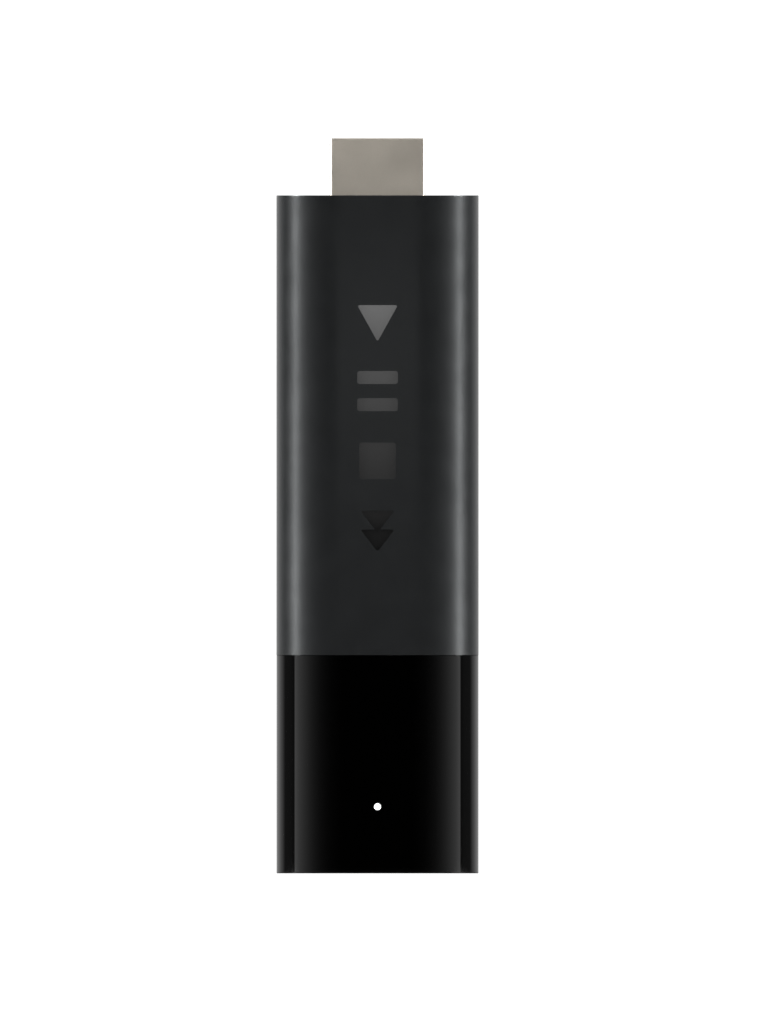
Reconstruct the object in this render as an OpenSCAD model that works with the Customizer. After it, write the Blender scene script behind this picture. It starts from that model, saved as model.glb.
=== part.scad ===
// Streaming media player stick: a matte sleeve with a video plug at its upper end, and a glossy
// cap with a status light and a power socket at its lower end. Inside, one board carries the
// electronics between two heat spreaders. Millimetres, +Z towards the plug, front at -Y.

/* [Body] */
// Width of the body across its rounded sides
body_w = 29.4; // [29.4:0.1:30.4]
// Depth of the body from front to back
body_d = 15.4; // [15.4:0.1:16]
// Length of the body without the plug
body_h = 98.5; // [98.5:0.1:99.5]
// Length of the glossy end cap
cap_h = 31.7; // [31.2:0.1:31.9]
// Wall thickness of the sleeve and the cap
wall = 1.4; // [1.3:0.05:1.4]
// Thickness of the two end walls
end_wall = 1.6; // [1.5:0.1:1.7]
// Rounding of the two outer rims
rim_round = 0.35; // [0.2:0.05:0.5]
// Rounding of the two edges that meet at the seam
seam_round = 0.12; // [0.05:0.01:0.2]

/* [Plug] */
// Width of the plug shell
plug_w = 13.9; // [13.85:0.05:13.95]
// Thickness of the plug shell, front to back
plug_d = 4.45; // [4.4:0.05:4.5]
// Length of plug that stands out of the body
plug_out = 8.3; // [8:0.1:9]
// Sheet thickness of the plug shell
plug_gauge = 0.3; // [0.25:0.05:0.35]
// Distance between neighbouring plug contacts in a row
plug_pitch = 1; // [0.98:0.01:1]

/* [Power socket] */
// Width inside the socket's mouth
socket_w = 6.9; // [6.8:0.05:7]
// Height inside the socket's mouth
socket_d = 1.85; // [1.8:0.05:1.9]
// Sheet thickness of the socket shell
socket_gauge = 0.3; // [0.25:0.05:0.3]

/* [Status light] */
// Height of the light above the lower end
light_z = 9.7; // [9.5:0.1:9.9]
// Diameter of the light
light_d = 1.1; // [1:0.05:1.3]

/* [Front pictograms] */
// Size of each pictogram
mark_size = 5.8; // [5:0.1:6]
// Length of the whole row of pictograms
mark_run = 36.2; // [35:0.1:38]
// Depth of the polished recesses that draw them
mark_depth = 0.25; // [0.15:0.05:0.3]

/* [Board] */
// Width of the circuit board
board_w = 23.6; // [23.2:0.1:23.8]
// Thickness of the circuit board
board_t = 1; // [0.8:0.1:1]

/* [Hidden] */
$fn = 72;

// Clearances
slip = 0.1;          // sliding fit of the cap's spigot in the sleeve
fit = 0.03;          // fit of an insert in its seat
over = 1;            // how far a cutter runs past the face it cuts

// Housing
cavity_w = body_w - 2 * wall;
cavity_d = body_d - 2 * wall;
ceiling_z = body_h - end_wall;
spigot_h = 5;
spigot_t = 1;
spigot_root = 2;         // length over which the cap's wall is thick enough to carry the spigot
spigot_w = cavity_w - 2 * slip;
spigot_d = cavity_d - 2 * slip;
throat_w = spigot_w - 2 * spigot_t;
throat_d = spigot_d - 2 * spigot_t;
hook_w = 3.4;
hook_x = 5;
hook_z = cap_h + 1.5;
hook_h = 1.6;
hook_bite = 0.45;
relief_w = 0.6;          // slits that let a hook's tongue bend
rib_t = 0.8;
rib_x = board_w / 2 - 0.8;
rib_gap = 0.15;          // between the board's face and a guide rib
socket_clear = 0.2;
plug_clear = 0.12;

// Front pictograms, read from the plug end towards the cap
mark_mid_z = 65;
mark_count = 4;
mark_bar = mark_size * 0.32;
mark_round = 0.35;

// Plug
tip_z = body_h + plug_out;
plug_base_z = body_h - 5.5;
plug_round = 0.45;
plug_back_w = 10.2;      // width of the narrow back face
plug_side_d = 2.55;      // depth of the straight sides, measured from the front face
insulator_top = tip_z - 0.6;
slot_w = 10.9;
slot_d = 2;
slot_floor = insulator_top - 8.4;
contact_w = 0.4;
contact_t = 0.15;
contact_top = insulator_top - 0.8;
tail_end = plug_base_z - 2.8;
bracket_t = 0.4;
bracket_h = 3;
leg_w = 1.2;
leg_h = 5;

// Power socket
socket_mouth_z = 0.5;
socket_back_z = 5.7;
socket_front_w = 5.3;    // width of the narrow front side of the mouth
socket_round = 0.25;
cutout_w = 8.2;
cutout_z = 6.2;
flange_w = 2.5;
flange_h = 1.8;
flange_z = 2.6;
tongue_w = 3.8;
tongue_t = 0.6;
tongue_tip_z = 1.3;
socket_pitch = 0.65;
socket_contact_w = 0.3;
socket_contact_t = 0.1;

// Board and what is stacked on it, measured from the board's middle plane outwards
board_bottom = 2;
board_top = plug_base_z - 0.4;
face = board_t / 2;
can_h = 1.8;
sheet = 0.2;
lid_y = face + can_h;
pad_t = 1;
spreader_y = lid_y + sheet + pad_t;
spreader_t = 0.8;
spreader_w = 20.8;
spreader_h = 48;
spreader_z = 66.4;
foam_t = cavity_d / 2 - spreader_y - spreader_t;
can_w = 17;
can_run = 32;
can_z = 66.5;
skirt = 1;
radio_can = [12, 9.5];
radio_z = 36.5;
radio_can_h = 1.6;
processor_size = [13, 13, 1.1];
processor_z = 59.5;
memory_size = [7.5, 12.5, 1];
memory_z = 74.2;
memory_x = 4.15;
back_memory_z = 58.8;
flash_size = [13, 11.5, 0.9];
flash_z = 75.5;
antenna_x = board_w / 2 - 1.5;
antenna_low_z = 14;
antenna_high_z = 29;
antenna_rise = 3.5;

// Screws and spacers
screw_x = 9;
screw_z = [spreader_z - 19.7, spreader_z + 19.7];
screw_r = 0.7;
head_r = 1.4;
head_t = 0.6;
spacer_r = 1.6;

// Light path
pipe_rod_r = 0.85;
pipe_flange_r = 1.4;
pipe_flange_t = 0.7;
led_size = [1.6, 0.8, 0.6];
led_gap = 0.2;
gasket_r = 2;
gasket_h = 3;

function unit(v) = v / norm(v);

// The arc that rounds corner b between its neighbours a and c
function corner(a, b, c, r, steps) =
    let (
        u = unit(a - b), v = unit(c - b), half = acos(u * v) / 2,
        centre = b + unit(u + v) * r / sin(half),
        p = b + u * r / tan(half) - centre, q = b + v * r / tan(half) - centre,
        start = atan2(p[1], p[0]), turn = (atan2(q[1], q[0]) - start + 540) % 360 - 180
    )
    [for (i = [0:steps]) centre + r * [cos(start + turn * i / steps), sin(start + turn * i / steps)]];

// A polygon's points with every corner rounded to radius r
function rounded(points, r, steps = 6) =
    let (count = len(points))
    [for (i = [0:count - 1])
        each corner(points[(i + count - 1) % count], points[i], points[(i + 1) % count], r, steps)];

function rectangle(w, h) = [[-w / 2, -h / 2], [w / 2, -h / 2], [w / 2, h / 2], [-w / 2, h / 2]];

// The plug's outline seen from its tip, wide at the front with cut corners at the back
function plug_outline(grow) =
    let (
        w = plug_w / 2 + grow, front = -plug_d / 2 - grow, back = plug_d / 2 + grow,
        bend = -plug_d / 2 + plug_side_d + grow * 0.4, narrow = plug_back_w / 2 + grow * 0.6
    )
    [[-w, front], [w, front], [w, bend], [narrow, back], [-narrow, back], [-w, bend]];

// The socket's outline, wide at the back with cut corners at the front
function socket_outline(grow) =
    let (
        w = socket_w / 2 + grow, d = socket_d / 2 + grow,
        bend = -0.1 - grow * 0.4, narrow = socket_front_w / 2 + grow * 0.6
    )
    [[-narrow, -d], [narrow, -d], [w, bend], [w, d], [-w, d], [-w, bend]];

// Turns what is built behind the board into its copy in front of it
module in_front() {
    mirror([0, 1, 0]) children();
}

// Copies what is built on the right to the left as well
module both_sides() {
    children();
    mirror([1, 0, 0]) children();
}

// Extrudes an outline drawn in X and Z along Y, from y0 towards the back
module slab_y(y0, depth) {
    translate([0, y0 + depth, 0]) rotate([90, 0, 0]) linear_extrude(depth) children();
}

// Extrudes an outline drawn in Y and Z by a width centred on x
module strip_x(x, w) {
    translate([x, 0, 0]) rotate([90, 0, 90]) linear_extrude(w, center = true) children();
}

// A box given by its middle in X and Z and its size, standing off the plane y0
module block(x, z, w, h, y0, depth) {
    translate([x - w / 2, y0, z - h / 2]) cube([w, depth, h]);
}

// A cylinder along Y, from y0 towards the back
module rod_y(x, z, r, y0, depth) {
    translate([x, y0 + depth, z]) rotate([90, 0, 0]) cylinder(h = depth, r = r);
}

// A solid with flat faces and fully rounded sides, from a half profile drawn as distance from
// the middle plane against height
module round_sided(w, d) {
    for (side = [0, 180])
        rotate([0, 0, side]) translate([(w - d) / 2, 0, 0]) rotate([0, 0, -90])
            rotate_extrude(angle = 180) children();
    rotate([90, 0, 90]) linear_extrude(w - d, center = true) {
        children();
        mirror([1, 0]) children();
    }
}

// Half profile of a round-sided block with its lower and upper rims rounded
module half_profile(reach, z0, z1, low_round, high_round) {
    translate([0, z0 + low_round]) square([reach, z1 - z0 - low_round - high_round]);
    translate([0, z0]) square([reach - low_round, low_round * 2]);
    translate([0, z1 - high_round * 2]) square([reach - high_round, high_round * 2]);
    translate([reach - low_round, z0 + low_round]) circle(low_round);
    translate([reach - high_round, z1 - high_round]) circle(high_round);
}

// A round-sided space or block with plain rims
module round_sided_plain(w, d, z0, z1) {
    round_sided(w, d) translate([0, z0]) square([d / 2, z1 - z0]);
}

// Ribs on both sides of the board's long edges
module guide_ribs(z0, z1) {
    for (back = [0, 1])
        mirror([0, back, 0]) both_sides()
            translate([rib_x, face + rib_gap, z0])
                cube([cavity_w / 2 + wall / 3 - rib_x, rib_t, z1 - z0]);
}

// The places of the four hooks, on the front and the back
module at_hooks() {
    for (back = [0, 1], x = [-hook_x, hook_x])
        mirror([0, back, 0]) translate([x, 0, 0]) children();
}

// One of the four pictograms, drawn upright around its middle
module pictogram(index) {
    s = mark_size / 2;
    triangle = [[-s * 0.8, -s], [s, 0], [-s * 0.8, s]];
    half_triangle = [[-s, -s * 0.85], [s * 0.1, 0], [-s, s * 0.85]];
    if (index == 0) polygon(rounded(triangle, mark_round));
    if (index == 1)
        for (x = [-1, 1])
            translate([x * (s - mark_bar / 2), 0]) polygon(rounded(rectangle(mark_bar, 2 * s), mark_round));
    if (index == 2) polygon(rounded(rectangle(1.8 * s, 1.8 * s), mark_round));
    if (index == 3)
        for (x = [0, s * 0.95])
            translate([x, 0]) polygon(rounded(half_triangle, mark_round * 0.8));
}

module sleeve() {
    color("#2b2c2d") {
        difference() {
            round_sided(body_w, body_d)
                half_profile(body_d / 2, cap_h, body_h, seam_round, rim_round);
            round_sided_plain(cavity_w, cavity_d, cap_h - over, ceiling_z);
            translate([0, 0, ceiling_z - over]) linear_extrude(end_wall + 2 * over)
                polygon(rounded(plug_outline(plug_clear), plug_round));
            at_hooks()
                block(0, hook_z + hook_h / 2, hook_w + 2 * slip, hook_h + 2 * slip,
                    cavity_d / 2 - over, hook_bite + slip + over);
            for (i = [0:mark_count - 1])
                translate([0, 0, mark_mid_z + mark_run / 2 - mark_size / 2
                        - i * (mark_run - mark_size) / (mark_count - 1)])
                    slab_y(-body_d / 2 - over, mark_depth + over)
                        rotate(-90) pictogram(i);
        }
        guide_ribs(cap_h + spigot_h + 1, ceiling_z + 0.1);
    }
}

module end_cap() {
    color("#0b0b0c") {
        difference() {
            union() {
                round_sided(body_w, body_d)
                    half_profile(body_d / 2, 0, cap_h, rim_round, seam_round);
                round_sided_plain(spigot_w, spigot_d, cap_h - spigot_root, cap_h + spigot_h);
            }
            round_sided_plain(cavity_w, cavity_d, end_wall, cap_h - spigot_root);
            round_sided_plain(throat_w, throat_d, cap_h - spigot_root - over, cap_h + spigot_h + over);
            translate([0, 0, -over]) linear_extrude(end_wall + 2 * over)
                polygon(rounded(socket_outline(socket_gauge + socket_clear), socket_round));
            rod_y(0, light_z, light_d / 2 + fit, -body_d / 2 - over, wall + 2 * over);
            at_hooks() both_sides()
                block(hook_w / 2 + relief_w / 2, cap_h + spigot_h, relief_w, 2 * (spigot_h - 0.8),
                    throat_d / 2 - over, spigot_t + 2 * over);
        }
        at_hooks()
            strip_x(0, hook_w)
                polygon([
                    [spigot_d / 2 - spigot_t / 2, hook_z], [spigot_d / 2 + hook_bite, hook_z],
                    [spigot_d / 2 + hook_bite, hook_z + 0.5], [spigot_d / 2, hook_z + hook_h],
                    [spigot_d / 2 - spigot_t / 2, hook_z + hook_h]
                ]);
        guide_ribs(end_wall - 0.1, cap_h - spigot_root + 0.1);
    }
}

module light_pipe() {
    face_y = -body_d / 2;
    pipe_end = -face - led_size[2] - led_gap;
    color("#f2f6fa") {
        rod_y(0, light_z, light_d / 2, face_y, wall + fit);
        rod_y(0, light_z, pipe_flange_r, face_y + wall + fit, pipe_flange_t);
        rod_y(0, light_z, pipe_rod_r, face_y + wall, pipe_end - face_y - wall);
    }
}

module light_gasket() {
    color("#1b1b1d") difference() {
        rod_y(0, light_z, gasket_r, -face - gasket_h, gasket_h);
        rod_y(0, light_z, pipe_rod_r + 2 * fit, -face - gasket_h - over, gasket_h + 2 * over);
    }
}

module plug_shell() {
    color("#a8a498") translate([0, 0, plug_base_z]) linear_extrude(tip_z - plug_base_z)
        difference() {
            polygon(rounded(plug_outline(0), plug_round));
            polygon(rounded(plug_outline(-plug_gauge), plug_round - plug_gauge / 2));
        }
}

// A contact's outline in Y and Z: a blade beside the slot, a jog, and a tail on the board's face
module contact_outline() {
    blade = slot_d / 2;
    jog_z = slot_floor - 1.2;
    polygon([
        [blade, contact_top], [blade, jog_z], [face + contact_t, jog_z - 0.6],
        [face + contact_t, tail_end], [face, tail_end], [face, jog_z - 0.5],
        [blade - contact_t, jog_z + 0.1], [blade - contact_t, contact_top]
    ]);
}

// A row of contacts behind the middle plane
module contact_row(count) {
    for (i = [0:count - 1])
        strip_x((i - (count - 1) / 2) * plug_pitch, contact_w) contact_outline();
}

module plug_insulator() {
    color("#18181a") difference() {
        translate([0, 0, plug_base_z]) linear_extrude(insulator_top - plug_base_z)
            polygon(rounded(plug_outline(-plug_gauge - fit), plug_round - plug_gauge / 2));
        block(0, (slot_floor + tip_z) / 2, slot_w, tip_z - slot_floor, -slot_d / 2, slot_d);
        contact_row(9);
        in_front() contact_row(10);
    }
}

module plug_contacts_front() {
    color("#d9b45a") in_front() contact_row(10);
}

module plug_contacts_back() {
    color("#d9b45a") contact_row(9);
}

// A collar around the shell's base, with a leg on each side soldered to the board's front
module plug_bracket() {
    color("#b9bbbd") {
        translate([0, 0, plug_base_z]) linear_extrude(bracket_h) difference() {
            polygon(rounded(plug_outline(fit + bracket_t), plug_round + bracket_t));
            polygon(rounded(plug_outline(fit), plug_round));
        }
        both_sides()
            translate([plug_w / 2 + bracket_t / 2, -face - bracket_t, plug_base_z - leg_h])
                cube([leg_w, bracket_t, leg_h + bracket_h]);
    }
}

module power_socket_shell() {
    color("#b9bbbd") {
        translate([0, 0, socket_mouth_z]) linear_extrude(socket_back_z - socket_mouth_z)
            difference() {
                polygon(rounded(socket_outline(socket_gauge), socket_round + socket_gauge / 2));
                polygon(rounded(socket_outline(0), socket_round));
            }
        both_sides()
            translate([socket_w / 2 - socket_gauge, -face - socket_gauge, flange_z])
                cube([flange_w, socket_gauge, flange_h]);
    }
}

// The socket contacts' outline in Y and Z, under the tongue and down to the board's front
module socket_contact_outline() {
    t = socket_contact_t;
    polygon([
        [0, tongue_tip_z + 0.3], [0, socket_back_z + t], [-face, socket_back_z + t],
        [-face, cutout_z + 1], [-face - t, cutout_z + 1], [-face - t, socket_back_z],
        [-t, socket_back_z], [-t, tongue_tip_z + 0.3]
    ]);
}

module socket_contact_row() {
    for (i = [-2:2])
        strip_x(i * socket_pitch, socket_contact_w) socket_contact_outline();
}

module power_socket_tongue() {
    color("#141416") difference() {
        union() {
            block(0, (tongue_tip_z + socket_back_z) / 2, tongue_w, socket_back_z - tongue_tip_z,
                0, tongue_t);
            translate([0, 0, socket_back_z - 0.9]) linear_extrude(0.9)
                polygon(rounded(socket_outline(-fit), socket_round));
        }
        socket_contact_row();
    }
}

module power_socket_contacts() {
    color("#d9b45a") socket_contact_row();
}

module main_board() {
    mid_z = (board_bottom + board_top) / 2;
    color("#14452f") difference() {
        translate([0, 0, mid_z]) slab_y(-face, board_t)
            polygon(rounded(rectangle(board_w, board_top - board_bottom), 1));
        block(0, cutout_z / 2, cutout_w, cutout_z, -board_t, 2 * board_t);
        for (x = [-screw_x, screw_x], z = screw_z)
            rod_y(x, z, screw_r + 0.1, -board_t, 2 * board_t);
    }
}

module processor() {
    color("#202124") in_front()
        block(0, processor_z, processor_size[0], processor_size[1], face, processor_size[2]);
}

module memory_chips() {
    color("#242426") both_sides() {
        in_front()
            block(memory_x, memory_z, memory_size[0], memory_size[1], face, memory_size[2]);
        block(memory_x, back_memory_z, memory_size[0], memory_size[1], face, memory_size[2]);
    }
}

module flash_chip() {
    color("#1e1f21") block(0, flash_z, flash_size[0], flash_size[1], face, flash_size[2]);
}

module power_chips() {
    color("#232325") in_front() {
        block(-5.2, 18, 4.4, 4.4, face, 0.9);
        block(5.2, 25, 3, 3, face, 0.8);
    }
}

module wireless_chip() {
    color("#222326") in_front() block(-1.6, radio_z, 5.4, 5.4, face, 0.9);
}

module crystals() {
    color("#c8cacc") {
        in_front() block(3.6, radio_z, 2.5, 3.2, face, 0.7);
        in_front() block(-3.4, 45.4, 3.2, 2.5, face, 0.7);
        block(5.4, 36, 2.5, 2, face, 0.6);
    }
}

module inductors() {
    color("#3a3a3c") in_front() {
        block(0, 18, 3.2, 3.2, face, 1.5);
        block(4.4, 18, 3.2, 3.2, face, 1.5);
        block(-5.2, 24.6, 3.2, 3.2, face, 1.5);
    }
}

module bulk_capacitors() {
    color("#b89a6c") {
        in_front() for (z = [22, 24.6, 27.2])
            block(0, z, 3.2, 1.6, face, 1.4);
        for (z = [12, 15, 18, 21])
            block(-6, z, 3.2, 1.6, face, 1.4);
    }
}

// A row of small parts across the board, standing behind it
module part_row(count, z, pitch, size) {
    for (i = [0:count - 1])
        block((i - (count - 1) / 2) * pitch, z, size[0], size[1], face, size[2]);
}

module small_capacitors() {
    size = [0.6, 1, 0.5];
    color("#b08d5e") {
        for (front = [0, 1], z = [49, 84])
            mirror([0, front, 0]) part_row(9, z, 1.5, size);
        part_row(7, 26, 1.6, size);
        in_front() part_row(6, 13.2, 1.5, size);
    }
}

module small_resistors() {
    size = [0.6, 1, 0.35];
    color("#1a1a1c") {
        for (front = [0, 1])
            mirror([0, front, 0]) part_row(10, 88.2, 1.1, size);
        part_row(8, 30, 1.6, size);
        part_row(6, 44, 1.6, size);
    }
}

module status_led() {
    color("#f4f4ee") in_front()
        block(0, light_z, led_size[0], led_size[1], face, led_size[2]);
}

// A stamped strip that stands on two feet beside the board's edge, in front of it
module antenna() {
    color("#c9a24e") in_front() {
        translate([antenna_x, face + antenna_rise - 1.6, antenna_low_z])
            cube([sheet, 1.6, antenna_high_z - antenna_low_z]);
        for (z = [antenna_low_z, antenna_low_z + 4]) {
            translate([antenna_x, face, z]) cube([sheet, antenna_rise, 1]);
            translate([antenna_x - 1, face, z]) cube([1 + sheet, sheet, 1]);
        }
    }
}

module antenna_left() {
    mirror([1, 0, 0]) antenna();
}

module antenna_right() {
    antenna();
}

// A soldered fence behind the board
module shield_frame() {
    difference() {
        block(0, can_z, can_w, can_run, face, can_h);
        block(0, can_z, can_w - 2 * sheet, can_run - 2 * sheet, face - over, can_h + 2 * over);
    }
}

// A lid that clips over the fence
module shield_lid() {
    w = can_w + 2 * fit;
    h = can_run + 2 * fit;
    difference() {
        block(0, can_z, w + 2 * sheet, h + 2 * sheet, lid_y - skirt, skirt + sheet);
        block(0, can_z, w, h, lid_y - skirt - over, skirt + over);
    }
}

module shield_frame_front() {
    color("#c4c6c8") in_front() shield_frame();
}

module shield_lid_front() {
    color("#cdcfd1") in_front() shield_lid();
}

module shield_frame_back() {
    color("#c4c6c8") shield_frame();
}

module shield_lid_back() {
    color("#cdcfd1") shield_lid();
}

module wireless_shield() {
    color("#cdcfd1") in_front() difference() {
        block(0, radio_z, radio_can[0], radio_can[1], face, radio_can_h);
        block(0, radio_z, radio_can[0] - 2 * sheet, radio_can[1] - 2 * sheet,
            face - over, radio_can_h - sheet + over);
    }
}

module processor_pad() {
    top = face + processor_size[2];
    color("#8fa3b5") in_front()
        block(0, processor_z, processor_size[0], processor_size[1], top, lid_y - top);
}

module spreader_pad() {
    block(0, can_z, can_w - 1, can_run - 2, lid_y + sheet, pad_t);
}

module spreader_pad_front() {
    color("#8fa3b5") in_front() spreader_pad();
}

module spreader_pad_back() {
    color("#8fa3b5") spreader_pad();
}

// A plate behind the board with four holes of the given radius
module heat_spreader(hole_r) {
    color("#b4b6b8") difference() {
        translate([0, 0, spreader_z]) slab_y(spreader_y, spreader_t)
            polygon(rounded(rectangle(spreader_w, spreader_h), 1.2));
        for (x = [-screw_x, screw_x], z = screw_z)
            rod_y(x, z, hole_r, spreader_y - over, spreader_t + 2 * over);
    }
}

module heat_spreader_front() {
    in_front() heat_spreader(screw_r + 0.1);
}

module heat_spreader_back() {
    heat_spreader(screw_r);
}

module spacers() {
    color("#c9a24e") for (front = [0, 1], x = [-screw_x, screw_x], z = screw_z)
        mirror([0, front, 0]) difference() {
            rod_y(x, z, spacer_r, face, spreader_y - face);
            rod_y(x, z, screw_r + 0.1, face - over, spreader_y - face + 2 * over);
        }
}

module screws() {
    outer = spreader_y + spreader_t;
    color("#8d8f92") for (x = [-screw_x, screw_x], z = screw_z)
        difference() {
            union() {
                rod_y(x, z, head_r, -outer - head_t, head_t);
                rod_y(x, z, screw_r, -outer - head_t / 2, 2 * outer + head_t / 2);
            }
            for (turn = [0, 90])
                translate([x, -outer - head_t, z]) rotate([0, turn, 0])
                    cube([1.6, 0.6, 0.3], center = true);
        }
}

module foam_strips() {
    color("#3b3b3e") for (front = [0, 1])
        mirror([0, front, 0]) both_sides()
            block(4.4, spreader_z, 3.4, 34, spreader_y + spreader_t, foam_t);
}

sleeve();
end_cap();
light_pipe();
light_gasket();
plug_shell();
plug_insulator();
plug_contacts_front();
plug_contacts_back();
plug_bracket();
power_socket_shell();
power_socket_tongue();
power_socket_contacts();
main_board();
processor();
memory_chips();
flash_chip();
power_chips();
wireless_chip();
crystals();
inductors();
bulk_capacitors();
small_capacitors();
small_resistors();
status_led();
antenna_left();
antenna_right();
shield_frame_front();
shield_lid_front();
shield_frame_back();
shield_lid_back();
wireless_shield();
processor_pad();
spreader_pad_front();
spreader_pad_back();
heat_spreader_front();
heat_spreader_back();
spacers();
screws();
foam_strips();
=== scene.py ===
import math

import bpy
from mathutils import Matrix, Vector


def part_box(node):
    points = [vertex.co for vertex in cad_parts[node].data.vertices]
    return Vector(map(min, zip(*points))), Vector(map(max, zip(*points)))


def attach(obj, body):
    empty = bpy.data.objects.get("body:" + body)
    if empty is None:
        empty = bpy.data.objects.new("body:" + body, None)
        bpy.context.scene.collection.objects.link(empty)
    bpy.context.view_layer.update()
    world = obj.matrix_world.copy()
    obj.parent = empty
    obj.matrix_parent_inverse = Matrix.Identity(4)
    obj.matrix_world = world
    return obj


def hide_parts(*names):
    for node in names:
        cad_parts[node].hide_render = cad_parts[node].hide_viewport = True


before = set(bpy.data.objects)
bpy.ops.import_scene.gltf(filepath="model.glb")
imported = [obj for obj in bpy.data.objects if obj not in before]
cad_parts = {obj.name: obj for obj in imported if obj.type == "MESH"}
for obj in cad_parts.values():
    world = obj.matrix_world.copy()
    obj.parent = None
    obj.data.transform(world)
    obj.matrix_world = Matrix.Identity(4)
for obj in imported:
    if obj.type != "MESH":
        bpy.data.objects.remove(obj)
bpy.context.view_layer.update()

# Main board. Glass-fibre laminate under green lacquer, with copper that lifts the lacquer a little
# and plated holes. It is milled from a panel, and everything else inside is soldered to it.
MM = 0.001


def shader_group(name, inputs, outputs):
    """An empty shader group with named sockets, and its input and output nodes."""
    tree = bpy.data.node_groups.new(name, "ShaderNodeTree")
    for direction, sockets in (("INPUT", inputs), ("OUTPUT", outputs)):
        for socket, (kind, value) in sockets.items():
            made = tree.interface.new_socket(socket, in_out=direction, socket_type=f"NodeSocket{kind}")
            if direction == "INPUT" and value is not None:
                made.default_value = value
    return tree, tree.nodes.new("NodeGroupInput"), tree.nodes.new("NodeGroupOutput")


def math_node(tree, operation, *values):
    """A Math node; each value is a number or the socket that feeds it. Returns its output."""
    node = tree.nodes.new("ShaderNodeMath")
    node.operation = operation
    for socket, value in zip(node.inputs, values):
        if isinstance(value, (int, float)):
            socket.default_value = value
        else:
            tree.links.new(value, socket)
    return node.outputs[0]


def mix_colour(tree, share, first, second):
    """A colour Mix node; the share and the colours are values or sockets. Returns its output."""
    node = tree.nodes.new("ShaderNodeMix")
    node.data_type = "RGBA"
    for socket, value in ((node.inputs[0], share), (node.inputs[6], first), (node.inputs[7], second)):
        if isinstance(value, bpy.types.NodeSocket):
            tree.links.new(value, socket)
        else:
            socket.default_value = value if isinstance(value, (int, float)) else (*value, 1)
    return node.outputs[2]


grain, group_in, group_out = shader_group(
    "grain",
    {"Place": ("Vector", None), "Per metre": ("Float", 8000.0), "Detail": ("Float", 3.0)},
    {"Height": ("Float", None), "Tone": ("Float", None)},
)
fine = grain.nodes.new("ShaderNodeTexNoise")
patchy = grain.nodes.new("ShaderNodeTexNoise")
patchy.inputs["Detail"].default_value = 2
grain.links.new(group_in.outputs["Place"], fine.inputs["Vector"])
grain.links.new(group_in.outputs["Per metre"], fine.inputs["Scale"])
grain.links.new(group_in.outputs["Detail"], fine.inputs["Detail"])
grain.links.new(group_in.outputs["Place"], patchy.inputs["Vector"])
grain.links.new(math_node(grain, "MULTIPLY", group_in.outputs["Per metre"], 0.02), patchy.inputs["Scale"])
grain.links.new(fine.outputs["Fac"], group_out.inputs["Height"])
half_fine = math_node(grain, "MULTIPLY", fine.outputs["Fac"], 0.5)
half_patchy = math_node(grain, "MULTIPLY", patchy.outputs["Fac"], 0.5)
grain.links.new(math_node(grain, "ADD", half_fine, half_patchy), group_out.inputs["Tone"])

rubbed, group_in, group_out = shader_group(
    "rubbed_edges",
    {"Place": ("Vector", None), "Width": ("Float", 0.0001), "Strength": ("Float", 1.0)},
    {"Mask": ("Float", None)},
)
round_normal = rubbed.nodes.new("ShaderNodeBevel")
round_normal.samples = 4
rubbed.links.new(group_in.outputs["Width"], round_normal.inputs["Radius"])
true_normal = rubbed.nodes.new("ShaderNodeNewGeometry")
alike = rubbed.nodes.new("ShaderNodeVectorMath")
alike.operation = "DOT_PRODUCT"
rubbed.links.new(round_normal.outputs["Normal"], alike.inputs[0])
rubbed.links.new(true_normal.outputs["Normal"], alike.inputs[1])
breaks = rubbed.nodes.new("ShaderNodeTexNoise")
breaks.inputs["Scale"].default_value = 900
breaks.inputs["Detail"].default_value = 4
rubbed.links.new(group_in.outputs["Place"], breaks.inputs["Vector"])
edge = math_node(rubbed, "MULTIPLY", math_node(rubbed, "SUBTRACT", 1.0, alike.outputs["Value"]), 6.0)
broken = math_node(rubbed, "MULTIPLY", edge, math_node(rubbed, "MULTIPLY", breaks.outputs["Fac"], 1.6))
strength = math_node(rubbed, "MULTIPLY", broken, group_in.outputs["Strength"])
clipped = math_node(rubbed, "MINIMUM", math_node(rubbed, "MAXIMUM", strength, 0.0), 1.0)
rubbed.links.new(clipped, group_out.inputs["Mask"])


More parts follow.
